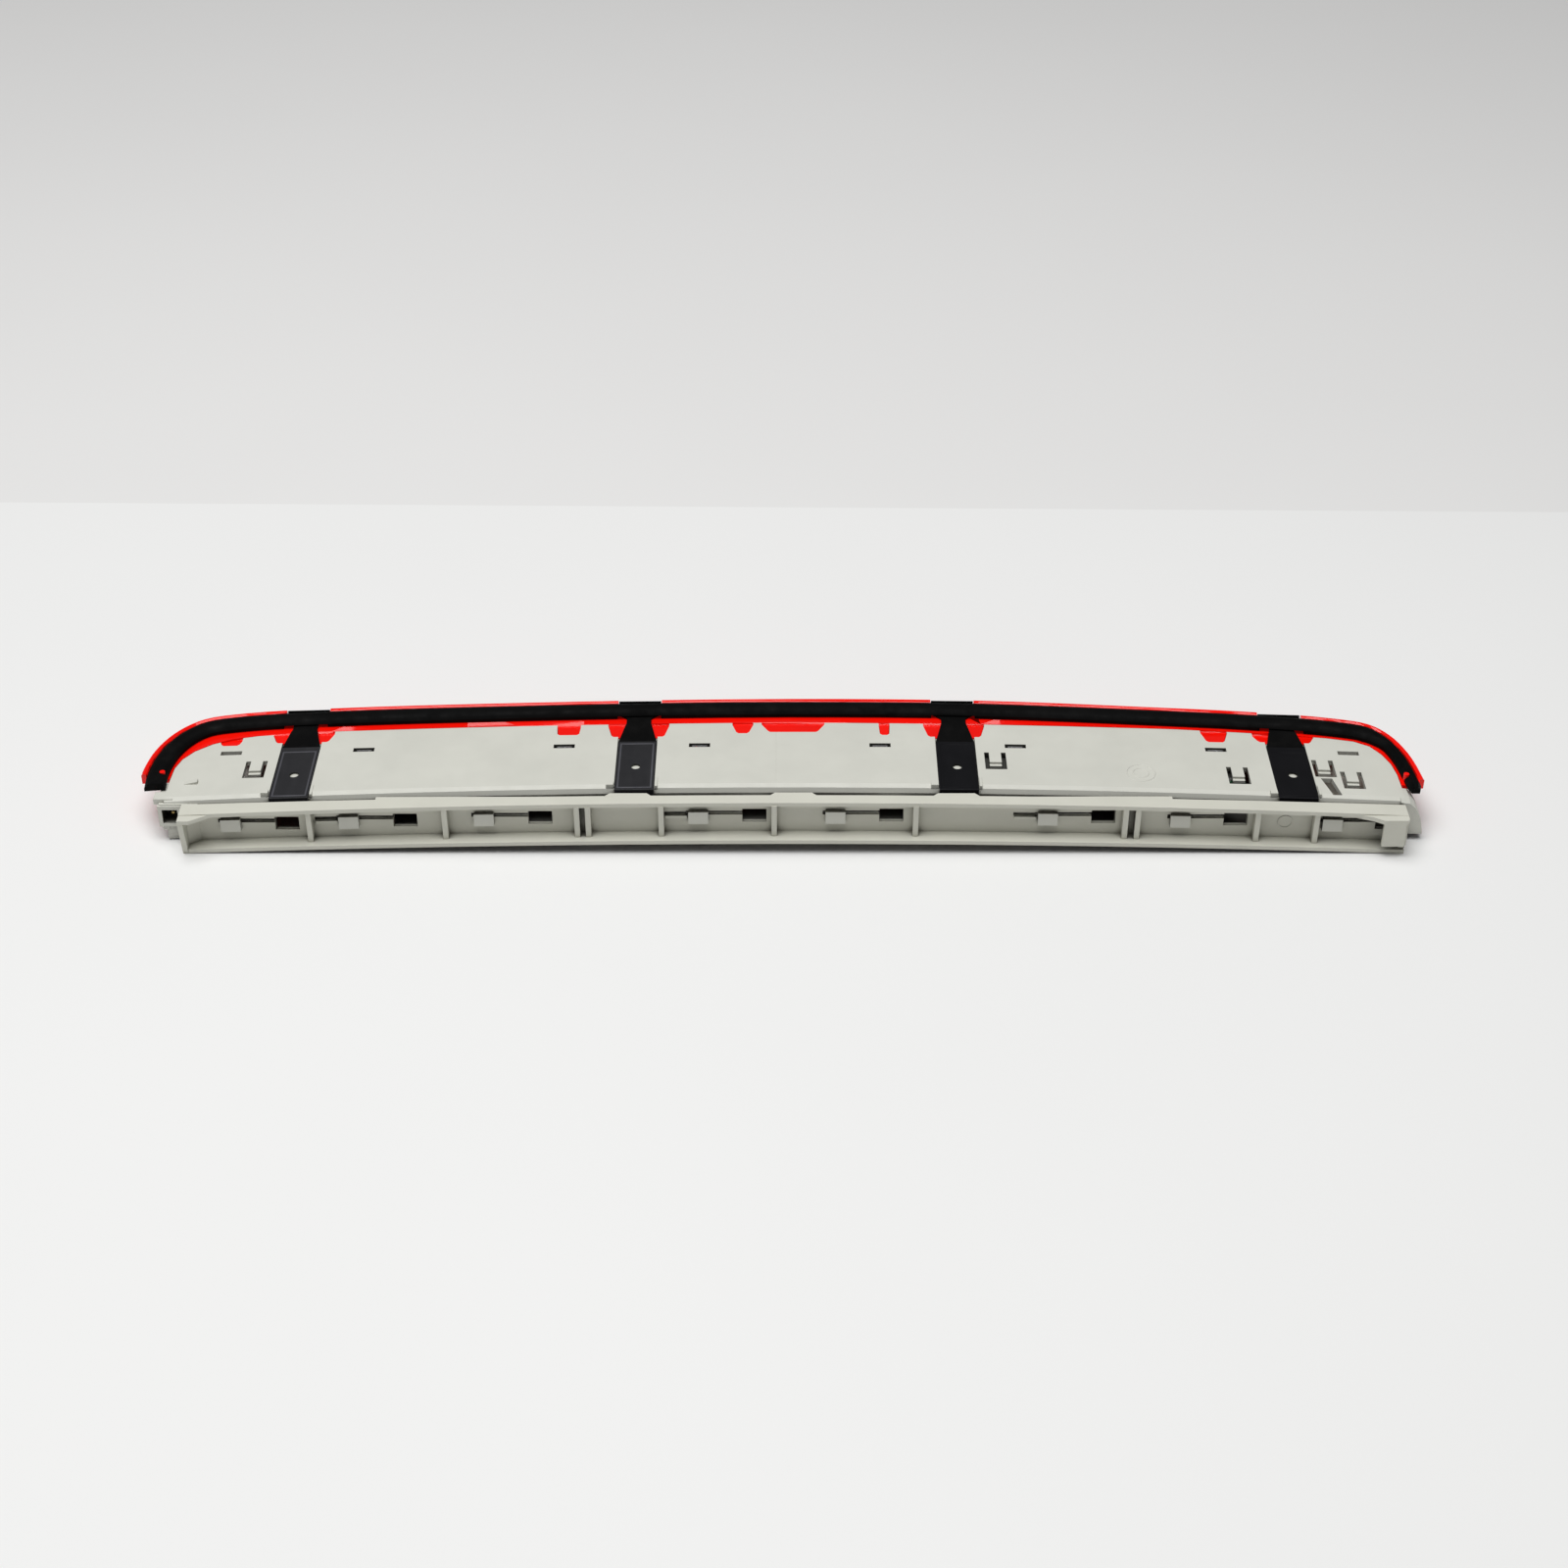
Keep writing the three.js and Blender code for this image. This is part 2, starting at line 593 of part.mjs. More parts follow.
// Section of the seal; it narrows to a rounded end at the right tip.
function sealSection({ at }) {
  const base = PANEL_TOP + arch(at.x) + GAP;
  const round = at.x > 0 ? Math.min(1, Math.sqrt(Math.max(0.1, (at.y - 14) / 5))) : 1;
  const taper = at.x > 240 ? Math.min(1, Math.max(0, (64 - at.y) / 12)) : 0;
  const inner = SEAL_INNER - SEAL_TAPER * taper;
  const middle = (inner + SEAL_OUTER) / 2;
  const crown = SEAL_HEIGHT - GAP;
  return [[inner, 0], [inner, crown * 0.4], [inner - 0.8, crown * 0.7], [inner - 2, crown * 0.9],
    [middle + 1, crown], [middle - 1.2, crown * 0.98], [SEAL_OUTER + 1.6, crown * 0.86],
    [SEAL_OUTER + 0.5, crown * 0.62], [SEAL_OUTER, crown * 0.36], [SEAL_OUTER, 0],
  ].map(([inset, z]) => [middle + (inset - middle) * round, base + z]);
}

function lensGasket() {
  let seal = sweep(rim, sealSection);
  for (const x of STRAPS) {
    const ceiling = PANEL_TOP + STRAP_THICKNESS + 3 * GAP;
    seal = seal.subtract(archedBox(x, STRAP_HEAD + 2 * GAP, 50, 90, 0, ceiling));
  }
  for (const [x, y] of PEGS) seal = seal.subtract(post(x, y, PEG_RADIUS + GAP, 0, 40));
  return seal;
}

// A steel strap: hooked over the back edge, flat on the panel, bent up to the rim of the lens.
function mountingStrap(x) {
  const back = backEdge(x) - GAP;
  const front = rimAt(x) - GAP;
  const t = STRAP_THICKNESS;
  const high = PANEL_TOP + GAP + t;
  const claw = STRAP_TOP - STRAP_CLAW;
  const side = [[back - t, claw], [back - t, STRAP_TOP], [STRAP_BEND, STRAP_TOP], [STRAP_RISE, high],
    [front - t, high], [front - t, high + 1.3], [front, high + 1.3], [front, high - t],
    [STRAP_RISE, high - t], [STRAP_BEND, STRAP_TOP - t], [back, STRAP_TOP - t], [back, claw]];
  const folded = loft([x - STRAP_HEAD / 2, x + STRAP_HEAD / 2], () => side);
  const half = [[STRAP_WIDTH / 2, 0], [STRAP_WIDTH / 2, STRAP_BEND], [STRAP_NECK / 2, 62],
    [STRAP_NECK / 2, 66], [STRAP_HEAD / 2, 69.5], [STRAP_HEAD / 2, 90]];
  const plan = [...half.map(([dx, y]) => [x + dx, y]), ...half.reverse().map(([dx, y]) => [x - dx, y])];
  const hole = post(x, backEdge(x) + STRAP_HOLE_FROM_BACK, STRAP_HOLE_RADIUS, 0, 50);
  return folded.intersect(prism(plan, 0, 50)).subtract(hole);
}

// Front edge of the rail's top flange.
const railFront = (x) => RAIL_FRONT.middle - RAIL_FRONT.bow * (x / RAIL_FRONT.span) ** 2;

// Back edge of the rail's top flange, wider over two stretches.
function railBack(x) {
  for (const { wide, narrow } of WIDER) {
    const share = (x - narrow) / (wide - narrow);
    if (share > 0 && share < 1) return RAIL_END.back + WIDER_BY * share;
  }
  return RAIL_END.back;
}

function railSection(x) {
  const { height, wall, web, webThickness } = RAIL;
  const rear = web + webThickness;
  return [[0, 0], [0, wall], [web, wall], [web, height - wall], [railFront(x), height - wall],
    [railFront(x), height], [railBack(x), height], [railBack(x), height - wall],
    [rear - 0.2, height - wall], [rear, height - wall - 0.4], [rear, 0]];
}

// Step-shaped hump on the back edge of the top flange.
function railHump(x) {
  const { half, topHalf, from, to } = HUMP;
  const top = RAIL.height + arch(x);
  const outline = [[x - half, from], [x + half, from], [x + topHalf, to], [x - topHalf, to]];
  return prism(outline, top - RAIL.wall, top - 0.05);
}

function railRib(x) {
  const outline = [[RAIL.ribFront + 0.6, RAIL.wall - 0.5], [RAIL.ribFront, RAIL.height - RAIL.wall + 0.5],
    [RAIL.web + 0.5, RAIL.height - RAIL.wall + 0.5], [RAIL.web + 0.5, RAIL.wall - 0.5]];
  return loft([x - RAIL.ribWidth / 2, x + RAIL.ribWidth / 2], () => outline);
}

// Window that a hook head passes through, with the slot that its neck slides along.
function railWindow(hookX) {
  const x = hookX + SLIDE;
  const low = HOOK.z - WINDOW.height / 2 + arch(hookX);
  const y0 = RAIL.web - 1;
  const y1 = RAIL.web + 2.2;
  const slotLow = HOOK.z + HOOK.neckRise - NECK_SLOT / 2 + arch(hookX);
  return join(
    box(x - WINDOW.width / 2, x + WINDOW.width / 2, y0, y1, low, low + WINDOW.height),
    box(hookX - SLOT_LEAD, x, y0, y1, slotLow, slotLow + NECK_SLOT),
  );
}

// Springy tongue beside a hook: a raised bar with a slot over it.
function tongueBar(hookX) {
  const { offset, width, low, high } = TONGUE;
  return archedBox(hookX - offset, width, RAIL.web - 0.9, RAIL.web + 0.5, HOOK.z - low, HOOK.z + high);
}

function tongueSlot(hookX) {
  const { offset, width, high } = TONGUE;
  const low = HOOK.z + high + GAP;
  return archedBox(hookX - offset, width + 0.8, RAIL.web - 1, RAIL.web + 2.2, low, low + 1.5);
}

// An upright wall across the end of the rail: outline holds [y, z] points.
function endWall(x0, x1, outline) {
  return skin([x0, x1].map((x) => outline.map(([y, z]) => new THREE.Vector3(x, y, z))));
}

// The left end wall leans forward; the flange flares out to it and a wedge stiffens the corner.
function railLeftEnd() {
  const x = RAIL.left;
  const { top, thickness, lean, back } = RAIL_END;
  const outline = [[0, 0], [0.2 - lean, top - 2.5], [-lean, top], [back, top], [back, 0]];
  const wall = endWall(x, x + thickness, outline);
  const flare = prism([[x, -lean], [x + 5, -lean], [x + 14, 2.2], [x + 14, 6], [x, 6]], top - 1.8, top);
  const wedge = prism([[x + 1, 8], [x + 1, 3], [x + 8, 8]], 1, top - 1);
  return join(wall, flare, wedge);
}

// The right end has a wall, a wider shelf of flange and a leg that hangs from the shelf.
function railRightEnd() {
  const x = RAIL.right;
  const { top, thickness, shelf, back } = RAIL_END;
  const wall = endWall(x - thickness, x, [[2.4, 0], [-1.2, 6], [-1.2, top], [back, top], [back, 0]]);
  const flange = prism([[x - 11, -shelf], [x - 0.8, -shelf], [x, 1.2 - shelf], [x, 6], [x - 22, 6],
    [x - 22, 2], [x - 15, -0.4]], top - 2, top);
  const leg = box(x - 10.8, x - 1.2, -shelf, -1, 5.7, top - 1.5);
  return join(wall, flange, leg);
}

// Thin raised ring on the web, left by a mould insert.
function mouldRing() {
  const { x, outer, inner, proud } = MOULD_RING;
  const z = MOULD_RING.z + arch(x);
  const disc = barrel(x, z, outer, RAIL.web - proud, RAIL.web + 0.5);
  return disc.subtract(barrel(x, z, inner, RAIL.web - 1, RAIL.web));
}

function retainingRail() {
  const [left, right] = WIDER;
  const step = WIDER_STEP;
  const edges = [RAIL.left, left.wide - step, left.wide + step, left.narrow,
    right.narrow, right.wide - step, right.wide + step, RAIL.right];
  const places = edges.slice(1).flatMap((x, i) => stations(edges[i], x).slice(i === 0 ? 0 : 1));
  const bars = [...RIBS.map(railRib), ...HUMPS.map(railHump), ...TONGUES.map(tongueBar)];
  const rail = join(loft(places, railSection), railLeftEnd(), railRightEnd(), mouldRing(), ...bars);
  return rail.subtract(join(...HOOKS.map(railWindow), ...TONGUES.map(tongueSlot)));
}

const ledPlaces = Array.from({ length: LED_COUNT }, (_, i) => (i - (LED_COUNT - 1) / 2) * LED_PITCH);

// Rectangular bar that follows the arch.
function archedBar({ half, y0, y1, z0, z1 }) {
  return loft(stations(-half, half), () => [[y0, z0], [y0, z1], [y1, z1], [y1, z0]]);
}

function ledBoard() {
  const holes = SCREWS.map((x) => barrel(x, LED_Z + arch(x), BOARD_HOLE_RADIUS, BOARD.y0 - 1, BOARD.y1 + 1));
  return archedBar(BOARD).subtract(join(...holes));
}

function led(x) {
  const z = LED_Z + arch(x);
  const { half, domeRadius, base, height } = LED;
  const foot = BOARD.y1 + SEAT;
  const body = box(x - half, x + half, foot, foot + base, z - half, z + half);
  return join(body, barrel(x, z, domeRadius, foot + 1, foot + height));
}

function boardScrew(x) {
  const z = LED_Z + arch(x);
  const { headRadius, head, radius, tip, slot } = SCREW;
  const foot = BOARD.y1 + SEAT;
  const top = foot + head;
  const solidScrew = join(barrel(x, z, headRadius, foot, top), barrel(x, z, radius, tip, foot + 0.5));
  return solidScrew.subtract(box(x - 2, x + 2, top - 0.7, top + 1, z - slot / 2, z + slot / 2));
}

// Bright trough round the row of LEDs, with a window for each one.
function reflectorTray() {
  const back = BOARD.y1 + 2.2;
  const tray = loft(stations(-OPTIC.half, OPTIC.half), () => [[back, 7.2], [back, 17], [43, 18.2],
    [43, 17.2], [back + 1.2, 16], [back + 1.2, 8.2], [43, 7.6], [43, 6.6]]);
  const windows = ledPlaces.map((x) => archedBox(x, 6, back - 1, back + 2, LED_Z - 3, LED_Z + 3));
  return tray.subtract(join(...windows));
}

// Clear inner optic that spreads the light; its tabs hold it in slots of the panel.
function innerOptic() {
  const tabs = SLOTS.filter((x) => Math.abs(x) < OPTIC.half).map((x) =>
    archedBox(x, 6.6, SLOT.y + 0.3, SLOT.y + 1.1, 17, PANEL_TOP - 0.9));
  return join(archedBar(OPTIC), ...tabs);
}

function terminal(z) {
  const { x0, x1, y0, y1, thickness } = TERMINAL;
  return box(x0, x1, y0, y1, z - thickness / 2, z + thickness / 2);
}

// Lead from a terminal to the end of the board.
function lead(route) {
  const curve = new THREE.CatmullRomCurve3(route.map((p) => new THREE.Vector3(...p)));
  const rings = Array.from({ length: LEAD_STEPS + 1 }, (_, i) => {
    const centre = curve.getPoint(i / LEAD_STEPS);
    return Array.from({ length: LEAD_SIDES }, (_unused, j) => {
      const turn = (2 * Math.PI * j) / LEAD_SIDES;
      const around = new THREE.Vector3(0, Math.cos(turn), Math.sin(turn));
      return centre.clone().addScaledVector(around, LEAD_RADIUS);
    });
  });
  return skin(rings);
}

// A resistor or diode on the back of the board.
function boardPart(x) {
  const { half, height, depth } = BOARD_PART;
  const back = BOARD.y0 - SEAT;
  const z = LED_Z + 0.2 + arch(x);
  return box(x - half, x + half, back - depth, back, z - height / 2, z + height / 2);
}

// Adds a solid to the lamp as a named mesh with its own material.
function addPart(lamp, name, made, colour) {
  const [color, roughness, metalness] = COLOURS[colour];
  const { vertProperties, triVerts } = made.getMesh();
  const geometry = new THREE.BufferGeometry();
  geometry.setAttribute("position", new THREE.BufferAttribute(vertProperties, 3));
  geometry.setIndex(new THREE.BufferAttribute(triVerts, 1));
  const mesh = new THREE.Mesh(geometry, new THREE.MeshStandardMaterial({ color, roughness, metalness }));
  mesh.name = name;
  lamp.add(mesh);
}

function buildLamp() {
  const lamp = new THREE.Group();
  addPart(lamp, "rear_housing", rearHousing(), "housing");
  addPart(lamp, "outer_lens", outerLens(), "lens");
  addPart(lamp, "lens_gasket", lensGasket(), "seal");
  addPart(lamp, "retaining_rail", retainingRail(), "rail");
  STRAPS.forEach((x, i) => addPart(lamp, `mounting_strap_${i + 1}`, mountingStrap(x), "strap"));
  addPart(lamp, "inner_optic", innerOptic(), "optic");
  addPart(lamp, "reflector_tray", reflectorTray(), "reflector");
  addPart(lamp, "led_board", ledBoard(), "board");
  ledPlaces.forEach((x, i) => addPart(lamp, `led_${i + 1}`, led(x), "led"));
  SCREWS.forEach((x, i) => addPart(lamp, `board_screw_${i + 1}`, boardScrew(x), "screw"));
  RESISTORS.forEach((x, i) => addPart(lamp, `series_resistor_${i + 1}`, boardPart(x), "resistor"));
  addPart(lamp, "polarity_diode", boardPart(DIODE_X), "resistor");
  TERMINAL.levels.forEach((z, i) => addPart(lamp, `connector_terminal_${i + 1}`, terminal(z), "terminal"));
  addPart(lamp, "power_lead", lead(POWER_ROUTE), "redLead");
  addPart(lamp, "ground_lead", lead(GROUND_ROUTE), "blackLead");
  return lamp;
}

const lamp = buildLamp();
const bounds = new THREE.Box3().setFromObject(lamp);
const centre = bounds.getCenter(new THREE.Vector3());
lamp.position.set(-centre.x, -centre.y, -bounds.min.z);

const group = new THREE.Group();
group.add(lamp);

export default group;
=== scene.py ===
"""Looks of the third brake light: every CAD node becomes a finely edged piece with its own moulded,
painted, rubber or glassy material, on a plain pale floor seen from the back of the lamp."""
import json
import math

import bmesh
import bpy
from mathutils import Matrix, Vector
from mathutils.bvhtree import BVHTree


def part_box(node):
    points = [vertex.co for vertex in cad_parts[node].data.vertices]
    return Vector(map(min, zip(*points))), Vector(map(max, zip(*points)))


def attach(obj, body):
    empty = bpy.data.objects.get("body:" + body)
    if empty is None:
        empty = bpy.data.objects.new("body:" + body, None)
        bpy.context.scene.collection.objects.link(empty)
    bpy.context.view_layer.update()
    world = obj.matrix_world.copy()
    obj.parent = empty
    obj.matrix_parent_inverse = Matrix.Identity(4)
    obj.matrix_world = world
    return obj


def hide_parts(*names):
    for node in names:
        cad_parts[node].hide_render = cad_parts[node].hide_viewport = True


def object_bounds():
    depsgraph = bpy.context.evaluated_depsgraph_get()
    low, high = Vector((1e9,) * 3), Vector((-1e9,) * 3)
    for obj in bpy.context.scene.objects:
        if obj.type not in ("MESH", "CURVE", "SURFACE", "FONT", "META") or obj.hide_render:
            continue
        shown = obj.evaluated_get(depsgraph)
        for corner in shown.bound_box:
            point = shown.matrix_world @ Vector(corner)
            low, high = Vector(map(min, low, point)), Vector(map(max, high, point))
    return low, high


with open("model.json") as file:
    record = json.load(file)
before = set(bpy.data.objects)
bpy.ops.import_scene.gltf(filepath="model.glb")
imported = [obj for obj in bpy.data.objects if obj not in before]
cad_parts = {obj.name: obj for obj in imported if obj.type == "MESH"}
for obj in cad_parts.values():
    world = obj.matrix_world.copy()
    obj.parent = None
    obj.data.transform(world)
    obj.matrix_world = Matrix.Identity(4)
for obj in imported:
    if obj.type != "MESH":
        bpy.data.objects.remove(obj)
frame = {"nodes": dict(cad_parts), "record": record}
CAD_BOX = [list(corner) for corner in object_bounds()]
MM = 0.001
LAMP, RAIL = "lamp", "rail"

# Camera: it looks down 35 degrees, square on to the back of the lamp.
CAMERA_AT = Vector((0.00094, -0.9632, 0.68438))
CAMERA_DOWN = math.radians(35)
CAMERA_LENS = 60.75
SENSOR_WIDTH = 36

# Table and light.
SEAM_Y = 0.270  # where the table's far, greyer part begins
SEAM_TURN = math.radians(-0.74)
FLOOR_SIZE = 8
NEAR_FLOOR = (0.83, 0.83, 0.82)
FAR_FLOOR = (0.78, 0.775, 0.765)
ROOM_COLOR = (0.97, 0.98, 1.0, 1)
ROOM_LIGHT = 0.12
SOFTBOXES = [
    # name, place, aimed at, width, height, watts
    ("key", (-0.3, -0.25, 2.5), (0, 0.05, 0), 2.2, 1.8, 72),
    ("front", (0.3, -1.3, 2.0), (0, 0, 0), 1.2, 0.8, 0.5),
]

# Arch of the long parts, as in the CAD.
ARCH_RISE = 5.2 * MM
ARCH_HALF_SPAN = 266 * MM
ARCH_MIDDLE = 3.5 * MM
ARCH_TOLERANCE = 0.03  # a face this far off the arch's slope is left as it is
ARCH_SAMPLES = [(v.co.x, v.co.z) for v in frame["nodes"]["led_board"].data.vertices]

# Edges and shading.
JOIN_DISTANCE = 0.004 * MM
FLATNESS = math.radians(0.15)  # faces that turn less than this are one flat face
ROUNDED_FROM = math.radians(28)  # least turn of an edge that is rounded
SHARP_FROM = math.radians(38)  # and of one that smooth shading leaves crisp
FACE_WEIGHT = 100  # large faces set the normals of smooth pieces
ROOM = 2.6  # an edge is rounded only where its neighbours are this many times the width
SAME_SIDE = 0.55  # a rounded face takes the normal of a flat one that faces about the same way
PLAIN_EDGE = 0.12 * MM  # width of the rounding on a node that has no row below
EDGE_WIDTH = {
    "rear_housing": 0.22 * MM,
    "retaining_rail": 0.25 * MM,
    "outer_lens": 0.25 * MM,
    "lens_gasket": 0.3 * MM,
    "inner_optic": 0.3 * MM,
    "reflector_tray": 0.25 * MM,
}
HARD_SHADED = ("rear_housing", "retaining_rail")

# Surfaces.
CREASE_SHADE = (0.6, 0.58, 0.52)  # share of the base colour left in corners, as painted shade
DEEP_HOLLOW = (0.08, 0.075, 0.065)  # and in slots and gaps that no light reaches
CREASE_SAMPLES = 8
MIX_A, MIX_B, MIX_RESULT = 6, 7, 2  # the colour sockets of a Mix node

# Hollow of the housing, whose inner faces take painted shade.
TROUGH_REACH = 30 * MM  # samples of the board this close along X give the trough's level
TROUGH_FORWARD = 4 * MM  # the middle of the trough lies this far in front of the board
TROUGH_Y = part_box("led_board")[1][1] + TROUGH_FORWARD
LOOKS_INWARDS = 0.35  # least share of a normal that points at the middle of the trough
ROOF_FACES_UP = 0.3  # least upward share of a normal on the tray's roof
ROOF_BELOW_BOARD_TOP = 0.5 * MM

# Flutes of the lens.
SIGNAL_FACES_FRONT = 0.7  # least forward share of a normal on the signal face
RIM_ABOVE_BOARD = 4 * MM
FLUTE_PITCH = 4 * MM
FLUTE_DEPTH = 0.55 * MM
FLUTE_COLUMNS = 5
CUT_TOLERANCE = 0.001 * MM

# Straps: 3 and 4 are painted a deeper black as shade, 1 and 2 lighter for their sheen, and all are
# painted a darker matt black past their bend, as shade.
STRAP_COUNT = 4
SHADED_STRAPS = (3, 4)
STRAP_BEND = 37 * MM
STRAP_FLAT_WIDTH = 17 * MM
STRAP_FLAT = (1.6 * MM, 35.2 * MM)  # the flat runs between these distances from the strap's back
RIDGE_STEPS = 6
RIDGE_INSET = 1.3 * MM  # from the edge of a strap to the middle of its pressed ridge
RIDGE_WIDTH = 0.75 * MM
RIDGE_HEIGHT = 0.16 * MM
LEAST_MITRE = 0.5  # keeps a ridge from growing past twice its width at a sharp corner

# Mould marks on the panel.
MOULD_MARK = Vector((157 * MM, -12 * MM, 0))
MARK_RADII = {"outer": 6.2 * MM, "inner": 3.4 * MM}
MARK_POINTS = 48
MARK_WIDTH = 0.8 * MM
MARK_HEIGHT = 0.25 * MM
RAY_START = 1  # metres above the panel, from where its height is felt for

# Shapes ------------------------------------------------------------------------------------------


def clean_mesh(node):
    """A CAD node's surface with its doubled corners joined and its flat faces made whole."""
    bm = bmesh.new()
    bm.from_mesh(frame["nodes"][node].data)
    bmesh.ops.remove_doubles(bm, verts=bm.verts, dist=JOIN_DISTANCE)
    bmesh.ops.dissolve_limit(bm, angle_limit=FLATNESS, verts=bm.verts, edges=bm.edges)
    bmesh.ops.recalc_face_normals(bm, faces=bm.faces)
    return bm


def soften(bm, width):
    """Rounds the sharp edges and marks the new faces, except round vertices that are crowded."""
    mark = bm.faces.layers.int.new("rounded")
    crowded = {v for v in bm.verts if any(e.calc_length() < ROOM * width for e in v.link_edges)}
    edges = [
        e
        for e in bm.edges
        if len(e.link_faces) == 2
        and e.calc_face_angle(0) > ROUNDED_FROM
        and not crowded.intersection(e.verts)
    ]
    rounded = bmesh.ops.bevel(
        bm,
        geom=edges,
        offset=width,
        segments=2,
        profile=0.5,
        affect="EDGES",
        clamp_overlap=True,
    )
    for face in rounded["faces"]:
        face[mark] = 1


def arched_normal(normal, x):
    """A flat face's normal, turned so that it follows the arch evenly along the lamp."""
    slope = -2 * ARCH_RISE * (x - ARCH_MIDDLE) / ARCH_HALF_SPAN**2
    if abs(normal.x + slope * normal.z) > ARCH_TOLERANCE:
        return normal.copy()
    return Vector((-slope * normal.z, normal.y, normal.z)).normalized()


def harden(mesh):
    """Gives flat faces their own even normals, which the rounded edges between them take up."""
    rounded = [row.value for row in mesh.attributes["rounded"].data]
    flats = {}
    for face in mesh.polygons:
        if not rounded[face.index]:
            for v in face.vertices:
                flats.setdefault(v, []).append((face.area, face.normal.copy()))
    normals = [None] * len(mesh.loops)
    for face in mesh.polygons:
        for corner, v in zip(face.loop_indices, face.vertices):
            normal = face.normal
            if rounded[face.index]:
                near = [row for row in flats.get(v, []) if row[1].dot(normal) > SAME_SIDE]
                if near:
                    normal = max(near, key=lambda row: row[0])[1]
            normals[corner] = arched_normal(normal, mesh.vertices[v].co.x)
    mesh.normals_split_custom_set([tuple(n) for n in normals])


def finish_piece(bm, name, body, material, stands_for, hard=False):
    """Turns a bmesh into a shaded piece that rides on a body and stands for CAD nodes."""
    mesh = bpy.data.meshes.new(name)
    bm.to_mesh(mesh)
    bm.free()
    mesh.shade_smooth()
    if hard:
        harden(mesh)
    else:
        mesh.set_sharp_from_angle(angle=SHARP_FROM)
    mesh.materials.append(material)
    piece = bpy.data.objects.new(name, mesh)
    bpy.context.scene.collection.objects.link(piece)
    if not hard:
        normals = piece.modifiers.new("even_normals", "WEIGHTED_NORMAL")
        normals.keep_sharp = True
        normals.weight = FACE_WEIGHT
    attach(piece, body)
    if stands_for:
        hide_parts(*stands_for)
    return piece


# Materials ---------------------------------------------------------------------------------------


class Surface:
    """A Principled material and short ways to add procedural detail to it."""

    def __init__(self, name, color, roughness, metallic=0.0, **sockets):
        self.material = bpy.data.materials.new(name)
        self.material.use_nodes = True
        self.tree = self.material.node_tree
        self.shader = self.tree.nodes["Principled BSDF"]
        self.shader.inputs["Base Color"].default_value = (*color, 1)
        self.shader.inputs["Roughness"].default_value = roughness
        self.shader.inputs["Metallic"].default_value = metallic
        for socket, value in sockets.items():
            self.shader.inputs[socket.replace("_", " ")].default_value = value
        self.place = self.tree.nodes.new("ShaderNodeTexCoord").outputs["Object"]

    def link(self, a, b):
        self.tree.links.new(a, b)

    def noise(self, scale, detail=4.0, roughness=0.55, stretch=None):
        node = self.tree.nodes.new("ShaderNodeTexNoise")
        node.inputs["Scale"].default_value = scale
        node.inputs["Detail"].default_value = detail
        node.inputs["Roughness"].default_value = roughness
        place = self.place
        if stretch:
            mapping = self.tree.nodes.new("ShaderNodeMapping")
            mapping.inputs["Scale"].default_value = stretch
            self.link(place, mapping.inputs["Vector"])
            place = mapping.outputs["Vector"]
        self.link(place, node.inputs["Vector"])
        return node.outputs["Fac"]

    def spread(self, value, low, high, start=0.3, end=0.7):
        """A value that goes from low to high while the one given goes from start to end."""
        node = self.tree.nodes.new("ShaderNodeMapRange")
        node.inputs["From Min"].default_value = start
        node.inputs["From Max"].default_value = end
        node.inputs["To Min"].default_value = low
        node.inputs["To Max"].default_value = high
        self.link(value, node.inputs["Value"])
        return node.outputs["Result"]

    def mix(self, factor, a, b):
        node = self.tree.nodes.new("ShaderNodeMix")
        node.data_type = "RGBA"
        self.link(factor, node.inputs["Factor"])
        for socket, value in ((node.inputs[MIX_A], a), (node.inputs[MIX_B], b)):
            if isinstance(value, tuple):
                socket.default_value = (*value, 1)
            else:
                self.link(value, socket)
        return node.outputs[MIX_RESULT]

    def rough(self, value):
        self.link(value, self.shader.inputs["Roughness"])

    def paint(self, value):
        self.link(value, self.shader.inputs["Base Color"])

    def bump(self, *layers):
        """Layers of (height, strength, distance in metres), the coarsest first."""
        normal = None
        for height, strength, distance in layers:
            node = self.tree.nodes.new("ShaderNodeBump")
            node.inputs["Strength"].default_value = strength
            node.inputs["Distance"].default_value = distance
            self.link(height, node.inputs["Height"])
            if normal:
                self.link(normal, node.inputs["Normal"])
            normal = node.outputs["Normal"]
        self.link(normal, self.shader.inputs["Normal"])

    def edges(self, low=0.52, high=0.6):
        """1 on convex rounded edges, for a painted highlight, 0 elsewhere: soften marks the rounded
        faces.
        """
        geometry = self.tree.nodes.new("ShaderNodeNewGeometry")
        rounded = self.tree.nodes.new("ShaderNodeAttribute")
        rounded.attribute_name = "rounded"
        both = self.tree.nodes.new("ShaderNodeMath")
        both.operation = "MULTIPLY"
        convex = self.spread(geometry.outputs["Pointiness"], 0, 1, low, high)
        self.link(convex, both.inputs[0])
        self.link(rounded.outputs["Fac"], both.inputs[1])
        return both.outputs[0]

    def creases(self, distance, deepest, openest):
        """1 where the hollow round a point is as closed as deepest, 0 where as open as openest."""
        node = self.tree.nodes.new("ShaderNodeAmbientOcclusion")
        node.inputs["Distance"].default_value = distance
        node.samples = CREASE_SAMPLES
        return self.spread(node.outputs["AO"], 1, 0, deepest, openest)


def tint(color, share):
    """A colour made lighter or darker as a whole."""
    return tuple(min(1.0, c * share) for c in color)


def shade(color, factors):
    """A colour with each channel multiplied by its own factor."""
    return tuple(c * k for c, k in zip(color, factors))


